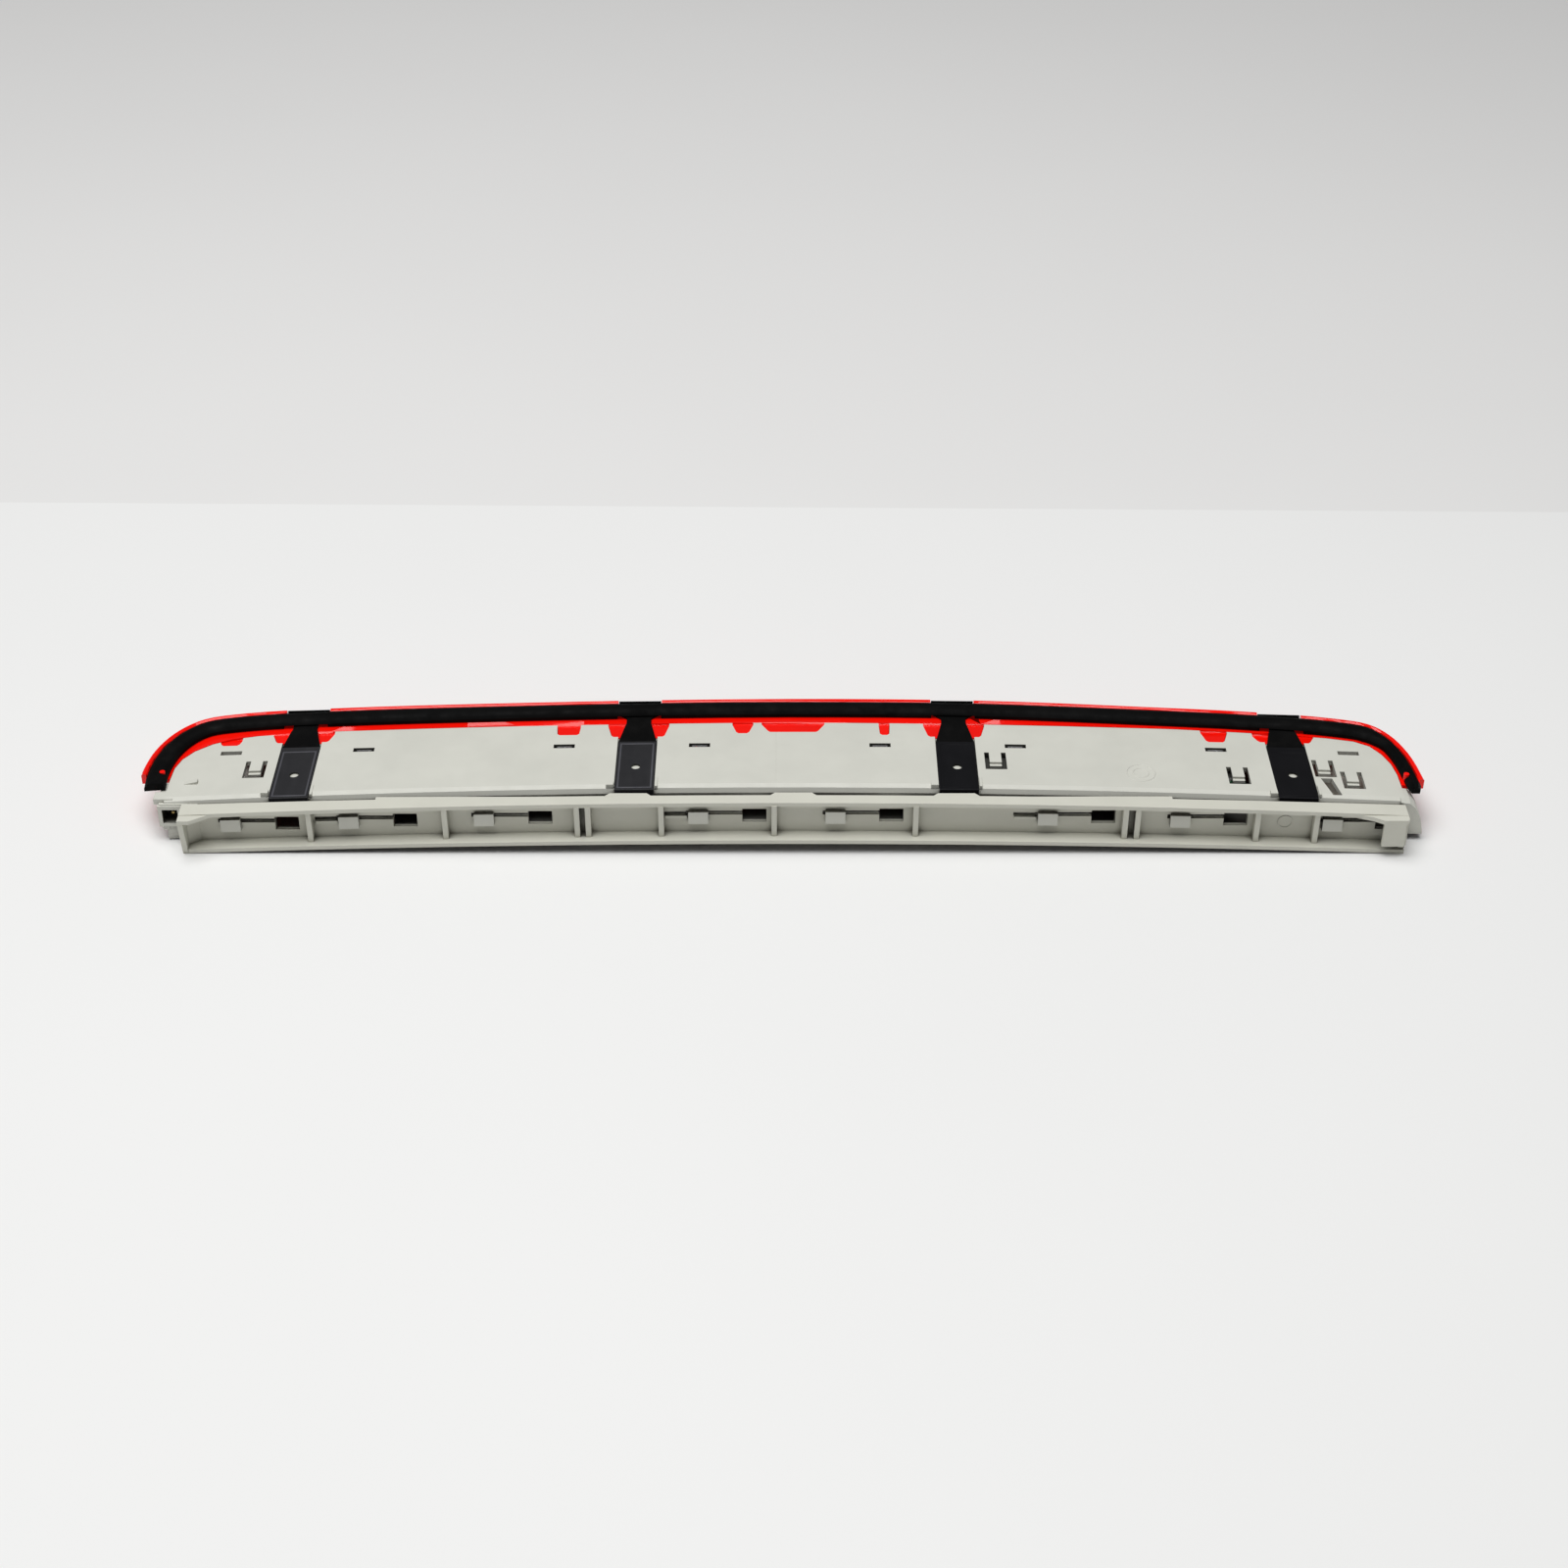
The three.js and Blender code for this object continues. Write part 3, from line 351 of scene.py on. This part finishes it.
def moulded_plastic(name, color, roughness=0.5, hollow=(0.12, 0.46)):
    """Grained plastic with painted shade in its corners and hollows and a painted highlight on its
    edges.
    """
    s = Surface(name, color, roughness, Specular_IOR_Level=0.42)
    blotch = s.noise(38, 3)
    tone = s.mix(s.spread(blotch, 0, 1), tint(color, 0.965), tint(color, 1.03))
    # painted shade in corners, and darker painted shade in slots and gaps
    soft = s.mix(s.creases(4 * MM, 0.26, 0.58), tone, shade(color, CREASE_SHADE))
    deep = s.mix(s.creases(14 * MM, *hollow), soft, shade(color, DEEP_HOLLOW))
    # painted highlight on the rounded convex edges
    s.paint(s.mix(s.spread(s.edges(), 0, 0.5, 0, 1), deep, tint(color, 1.2)))
    s.rough(s.spread(s.noise(220, 5), roughness - 0.09, roughness + 0.1))
    s.bump(
        (s.noise(30, 2), 0.10, 0.4 * MM),
        (s.noise(1900, 3, 0.6), 0.22, 0.05 * MM),
    )
    return s.material


def red_lens(name, color=(0.93, 0.006, 0.002), glow=0.065, coat=0.08):
    """Polished red plastic that passes on a little of the light that enters it, with a faint
    painted glow and a painted highlight on its edges.
    """
    s = Surface(name, color, 0.12, Transmission_Weight=0.1, IOR=1.49, Coat_Weight=coat)
    s.shader.inputs["Coat Roughness"].default_value = 0.05
    # a faint painted glow that brightens the red
    s.shader.inputs["Emission Color"].default_value = (1.0, 0.01, 0.002, 1)
    s.shader.inputs["Specular IOR Level"].default_value = 0.3
    s.shader.inputs["Emission Strength"].default_value = glow
    tone = s.mix(s.spread(s.noise(26, 2), 0, 1), color, tint(color, 0.88))
    # painted highlight on the rounded convex edges
    s.paint(s.mix(s.spread(s.edges(), 0, 0.3, 0, 1), tone, (1.0, 0.03, 0.01)))
    s.rough(s.spread(s.noise(420, 5), 0.07, 0.2))
    s.bump((s.noise(55, 2), 0.06, 0.3 * MM), (s.noise(1300, 3), 0.05, 0.03 * MM))
    return s.material


def seal_rubber(name):
    """Matt black rubber with a little dust."""
    color = (0.002, 0.002, 0.002)
    s = Surface(name, color, 0.62, Specular_IOR_Level=0.05)
    dust = s.mix(s.spread(s.noise(90, 6, 0.7), 0, 1, 0.48, 0.75), color, (0.007, 0.0068, 0.0065))
    s.paint(s.mix(s.spread(s.noise(16, 2), 0, 0.6), dust, (0.004, 0.004, 0.004)))
    s.rough(s.spread(s.noise(160, 5), 0.5, 0.78))
    s.bump(
        (s.noise(70, 3, stretch=(0.3, 1, 1)), 0.25, 0.3 * MM),
        (s.noise(1500, 4, 0.7), 0.35, 0.06 * MM),
    )
    return s.material


def coated_steel(name, color, gloss):
    """Black coating over steel, with a painted highlight along its edges."""
    s = Surface(name, color, 0.4, metallic=0.1, Specular_IOR_Level=gloss)
    tone = s.mix(s.spread(s.noise(60, 4), 0, 1), color, tint(color, 1.4))
    # painted highlight on the rounded convex edges
    s.paint(s.mix(s.spread(s.edges(0.54, 0.64), 0, 0.5, 0, 1), tone, (0.16, 0.16, 0.18)))
    s.rough(s.spread(s.noise(300, 5, stretch=(1, 0.15, 1)), 0.3, 0.5))
    s.bump(
        (s.noise(140, 3, stretch=(1, 0.3, 1)), 0.10, 0.15 * MM),
        (s.noise(2100, 3, 0.65), 0.22, 0.04 * MM),
    )
    return s.material


def clear_plastic(name):
    """Clear moulded plastic, a little uneven."""
    s = Surface(name, (0.96, 0.97, 0.98), 0.08, Transmission_Weight=0.85, IOR=1.49)
    s.rough(s.spread(s.noise(500, 4), 0.04, 0.14))
    s.bump((s.noise(80, 2), 0.08, 0.2 * MM))
    return s.material


def bright_reflector(name):
    """Glossy white plastic that throws the light forwards."""
    s = Surface(name, (0.86, 0.86, 0.84), 0.3)
    s.paint(s.mix(s.spread(s.noise(50, 3), 0, 1), (0.84, 0.84, 0.81), (0.9, 0.9, 0.88)))
    s.rough(s.spread(s.noise(400, 4), 0.22, 0.4))
    s.bump((s.noise(1200, 3), 0.12, 0.04 * MM))
    return s.material


def circuit_board(name):
    """Green solder mask over raised tracks."""
    green = (0.004, 0.04, 0.014)
    s = Surface(name, green, 0.38, Coat_Weight=0.3)
    wave = s.tree.nodes.new("ShaderNodeTexWave")
    wave.bands_direction = "Z"
    wave.inputs["Scale"].default_value = 130
    wave.inputs["Distortion"].default_value = 6
    s.link(s.place, wave.inputs["Vector"])
    tracks = s.spread(wave.outputs["Fac"], 0, 1, 0.62, 0.7)
    s.paint(s.mix(tracks, green, (0.01, 0.08, 0.03)))
    s.rough(s.spread(s.noise(300, 4), 0.3, 0.5))
    s.bump((tracks, 0.3, 0.05 * MM))
    return s.material


def led_resin(name):
    """Pale yellow resin under a clear coat."""
    s = Surface(name, (0.85, 0.8, 0.45), 0.15, Transmission_Weight=0.3, Coat_Weight=0.6)
    s.paint(s.mix(s.spread(s.noise(500, 3), 0, 1), (0.86, 0.8, 0.42), (0.9, 0.88, 0.66)))
    s.rough(s.spread(s.noise(700, 3), 0.08, 0.22))
    return s.material


def plain_metal(name, color, roughness):
    """Bare metal with fine drawn streaks."""
    s = Surface(name, color, roughness, metallic=1.0)
    s.paint(s.mix(s.spread(s.noise(300, 4), 0, 1), tint(color, 0.85), tint(color, 1.06)))
    s.rough(s.spread(s.noise(900, 5, stretch=(1, 0.2, 1)), roughness - 0.1, roughness + 0.12))
    s.bump((s.noise(1800, 3), 0.15, 0.03 * MM))
    return s.material


def component_case(name, color):
    """Fine-grained case or sleeve of an electrical part."""
    s = Surface(name, color, 0.45)
    s.paint(s.mix(s.spread(s.noise(400, 4), 0, 1), tint(color, 0.8), tint(color, 1.25)))
    s.rough(s.spread(s.noise(1200, 4), 0.36, 0.58))
    s.bump((s.noise(2600, 3), 0.25, 0.03 * MM))
    return s.material


MATERIALS = {
    "housing_plastic": moulded_plastic(
        "housing_plastic", (0.605, 0.605, 0.545), hollow=(0.24, 0.52)
    ),
    # painted shade: a dark copy of the plastic for the housing's inner faces and the tray's roof
    "housing_painted_shade": moulded_plastic("housing_painted_shade", (0.07, 0.07, 0.062), 0.7),
    "rail_plastic": moulded_plastic("rail_plastic", (0.6, 0.595, 0.52), 0.54),
    "red_lens": red_lens("red_lens"),
    "red_face": red_lens("red_face", (0.7, 0.004, 0.002), 0.03, 0.5),
    "seal_rubber": seal_rubber("seal_rubber"),
    # straps 1 and 2 are painted lighter for their sheen, 3 and 4 darker, as painted shade
    "strap_steel": coated_steel("strap_steel", (0.02, 0.02, 0.022), 0.3),
    "strap_shaded": coated_steel("strap_shaded", (0.006, 0.006, 0.007), 0.1),
    # the darker neck past a strap's bend, as painted shade
    "strap_neck": seal_rubber("strap_neck"),
    # a lighter ridge, as a painted highlight
    "strap_ridge": coated_steel("strap_ridge", (0.07, 0.07, 0.08), 0.5),
    "clear_plastic": clear_plastic("clear_plastic"),
    "reflector_plastic": bright_reflector("reflector_plastic"),
    "circuit_board": circuit_board("circuit_board"),
    "led_package": led_resin("led_package"),
    "screw_steel": plain_metal("screw_steel", (0.6, 0.61, 0.63), 0.35),
    "component_black": component_case("component_black", (0.02, 0.02, 0.022)),
    "terminal_brass": plain_metal("terminal_brass", (0.72, 0.52, 0.2), 0.3),
    "lead_red": component_case("lead_red", (0.45, 0.012, 0.012)),
    "lead_black": component_case("lead_black", (0.015, 0.015, 0.015)),
}

# Pieces ------------------------------------------------------------------------------------------

SLOT_OF = {row["node"]: row["material_slot"] for row in frame["record"]["subparts"]}
# straps 3 and 4 take the darker copy of the strap material, as painted shade
LOOK_OF = {f"mounting_strap_{number}": "strap_shaded" for number in SHADED_STRAPS}


def board_levels(x):
    """Heights of the LED board near a place along the lamp, none past its ends."""
    return [z for sample_x, z in ARCH_SAMPLES if abs(sample_x - x) < TROUGH_REACH]


def looks_inwards(face):
    """Whether a face of the housing looks at the middle of its trough."""
    centre = face.calc_center_median()
    near = board_levels(centre.x)
    if not near:
        return False
    inwards = Vector((0, TROUGH_Y - centre.y, (min(near) + max(near)) / 2 - centre.z))
    return face.normal.dot(inwards) > LOOKS_INWARDS * inwards.length


def on_signal_face(face):
    """Whether a face is on the front of the lens, below its rim and above its lower edge."""
    centre = face.calc_center_median()
    near = board_levels(centre.x)
    if not near or face.normal.y < SIGNAL_FACES_FRONT:
        return False
    top = max(v.co.z for v in face.verts)
    return centre.y > TROUGH_Y and top < max(near) + RIM_ABOVE_BOARD


def on_tray_roof(face):
    """Whether a face is on the outside of the reflector's roof, under the panel."""
    centre = face.calc_center_median()
    near = board_levels(centre.x)
    if not near or face.normal.z < ROOF_FACES_UP:
        return False
    return centre.z > max(near) - ROOF_BELOW_BOARD_TOP


def cut_columns(bm, faces, step):
    """Cuts faces across at even places along X, from left to right."""
    corners = [v.co.x for f in faces for v in f.verts]
    for i in range(math.ceil(min(corners) / step), math.floor(max(corners) / step) + 1):
        x = i * step
        faces = [f for f in faces if max(v.co.x for v in f.verts) > x]
        edges = dict.fromkeys(e for f in faces for e in f.edges)
        verts = dict.fromkeys(v for f in faces for v in f.verts)
        cut = bmesh.ops.bisect_plane(
            bm,
            geom=[*faces, *edges, *verts],
            dist=CUT_TOLERANCE,
            plane_co=(x, 0, 0),
            plane_no=(1, 0, 0),
        )
        faces = [g for g in cut["geom"] if isinstance(g, bmesh.types.BMFace)]


def fluted_lens(node):
    """The lens with upright flutes pressed into its front, where the light comes through."""
    bm = clean_mesh(node)
    front = bm.faces.layers.int.new("front")
    face_on = [f for f in bm.faces if on_signal_face(f)]
    for face in face_on:
        face[front] = 1
    cut_columns(bm, face_on, FLUTE_PITCH / FLUTE_COLUMNS)
    for v in bm.verts:
        if all(f[front] for f in v.link_faces):
            wave = math.cos(2 * math.pi * v.co.x / FLUTE_PITCH)
            v.co.y -= FLUTE_DEPTH * (0.5 - 0.5 * wave)
    bm.normal_update()
    return bm


def second_look(node, bm):
    """A node's second material, if any, and the test for the faces that take it."""
    # straps are painted darker past their bend, as shade
    if node.startswith("mounting_strap"):
        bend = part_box(node)[0][1] + STRAP_BEND
        return "strap_neck", lambda face: face.calc_center_median().y > bend
    # the housing's inner faces and the tray's roof take painted shade
    if node == "rear_housing":
        return "housing_painted_shade", looks_inwards
    if node == "reflector_tray":
        return "housing_painted_shade", on_tray_roof
    if node == "outer_lens":
        front = bm.faces.layers.int["front"]
        return "red_face", lambda face: face[front]
    return None, lambda face: False


def finished_node(node):
    """Makes a CAD node into a finely edged piece, some of them with a second material."""
    bm = fluted_lens(node) if node == "outer_lens" else clean_mesh(node)
    soften(bm, EDGE_WIDTH.get(node, PLAIN_EDGE))
    second, takes_second = second_look(node, bm)
    for face in bm.faces:
        face.material_index = int(takes_second(face))
    body = RAIL if node == "retaining_rail" else LAMP
    slot = SLOT_OF[node]
    material = MATERIALS[LOOK_OF.get(node, slot)]
    hard = node in HARD_SHADED
    piece = finish_piece(bm, node + "_piece", body, material, [node], hard)
    if second:
        piece.data.materials.append(MATERIALS[second])


def ridge(name, path, width, height, body, material):
    """A closed low ridge, round on top, along a loop of points on a flat face."""
    bm = bmesh.new()
    rows = []
    count = len(path)
    for i, point in enumerate(path):
        before = (point - path[i - 1]).normalized()
        after = (path[(i + 1) % count] - point).normalized()
        across = (before + after).cross(Vector((0, 0, 1)))
        across = across.normalized() / max(LEAST_MITRE, math.cos(before.angle(after, 0) / 2))
        row = []
        for step in range(RIDGE_STEPS + 1):
            turn = math.pi * step / RIDGE_STEPS
            side = across * (width / 2 * math.cos(turn))
            row.append(bm.verts.new(point + side + Vector((0, 0, height * math.sin(turn)))))
        rows.append(row)
    for i, row in enumerate(rows):
        following = rows[(i + 1) % count]
        for a in range(len(row)):
            b = (a + 1) % len(row)
            bm.faces.new((row[a], following[a], following[b], row[b]))
    bmesh.ops.recalc_face_normals(bm, faces=bm.faces)
    finish_piece(bm, name, body, material, [])


def strap_ridge(number):
    """The pressed ridge round the flat of a strap, on the plane of the strap's mount."""
    mounts = {m["name"]: m for m in frame["record"]["mounts"]}
    mount = mounts[f"strap_{number}_face"]
    on_face = Vector(mount["pos_m"])
    up = Vector(mount["axis"])
    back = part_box(f"mounting_strap_{number}")[0][1]
    half = STRAP_FLAT_WIDTH / 2 - RIDGE_INSET
    path = []
    for x, y in ((-half, 0), (half, 0), (half, 1), (-half, 1)):
        z = on_face.z - up.x * x / up.z
        path.append(Vector((on_face.x + x, back + STRAP_FLAT[y], z)))
    name = f"strap_ridge_{number}"
    # ridges of straps 1 and 2 are lighter, as a painted highlight
    material = MATERIALS["strap_shaded" if number in SHADED_STRAPS else "strap_ridge"]
    ridge(name, path, RIDGE_WIDTH, RIDGE_HEIGHT, LAMP, material)


def mould_marks():
    """Two faint rings on the panel, left by a round insert of the mould."""
    panel = BVHTree.FromBMesh(clean_mesh("rear_housing"))
    down = Vector((0, 0, -1))
    for which, radius in MARK_RADII.items():
        path = []
        for i in range(MARK_POINTS):
            turn = 2 * math.pi * i / MARK_POINTS
            around = Vector((radius * math.cos(turn), radius * math.sin(turn), RAY_START))
            path.append(panel.ray_cast(MOULD_MARK + around, down)[0])
        name = f"mould_mark_{which}"
        plastic = MATERIALS["housing_plastic"]
        ridge(name, path, MARK_WIDTH, MARK_HEIGHT, LAMP, plastic)


for node in frame["nodes"]:
    finished_node(node)
for number in range(1, STRAP_COUNT + 1):
    strap_ridge(number)
mould_marks()

# Floor, light and camera -------------------------------------------------------------------------


def plane(name, width, depth, place, turn, material):
    """A flat sheet that reaches forwards from its place, kept out of the exported part."""
    mesh = bpy.data.meshes.new(name)
    side = width / 2
    corners = [(-side, 0, 0), (side, 0, 0), (side, depth, 0), (-side, depth, 0)]
    mesh.from_pydata(corners, [], [(0, 1, 2, 3)])
    mesh.materials.append(material)
    made = bpy.data.objects.new(name, mesh)
    made.location = place
    made.rotation_euler = turn
    bpy.context.scene.collection.objects.link(made)


def matt(name, color):
    """A plain painted surface, very slightly uneven."""
    s = Surface(name, color, 0.7)
    s.paint(s.mix(s.spread(s.noise(2.5, 2), 0, 1), tint(color, 0.985), color))
    return s.material


def softbox(name, place, aim, width, height, power):
    """A rectangular light that shines from a place towards a point."""
    data = bpy.data.lights.new(name, "AREA")
    data.shape = "RECTANGLE"
    data.size = width
    data.size_y = height
    data.energy = power
    light = bpy.data.objects.new(name, data)
    light.location = place
    light.rotation_euler = (Vector(aim) - Vector(place)).to_track_quat("-Z", "Y").to_euler()
    bpy.context.scene.collection.objects.link(light)


def studio():
    """A pale table whose far part, past a nearly straight seam, is a little greyer."""
    at = (0, SEAM_Y, CAD_BOX[0][2])
    near = matt("floor_white", NEAR_FLOOR)
    far = matt("floor_grey", FAR_FLOOR)
    plane("floor_far", FLOOR_SIZE, FLOOR_SIZE / 2, at, (0, 0, SEAM_TURN), far)
    plane("floor_near", FLOOR_SIZE, FLOOR_SIZE / 2, at, (0, 0, SEAM_TURN + math.pi), near)
    world = bpy.data.worlds.new("soft_room")
    world.use_nodes = True
    background = world.node_tree.nodes["Background"]
    background.inputs["Color"].default_value = ROOM_COLOR
    background.inputs["Strength"].default_value = ROOM_LIGHT
    bpy.context.scene.world = world
    for row in SOFTBOXES:
        softbox(*row)
    bpy.context.scene.view_settings.view_transform = "Standard"


def camera():
    """The camera at the photograph's angle."""
    data = bpy.data.cameras.new("camera")
    data.lens = CAMERA_LENS
    data.sensor_width = SENSOR_WIDTH
    made = bpy.data.objects.new("camera", data)
    made.location = CAMERA_AT
    made.rotation_euler = (math.pi / 2 - CAMERA_DOWN, 0, 0)
    bpy.context.scene.collection.objects.link(made)
    bpy.context.scene.camera = made


studio()
camera()
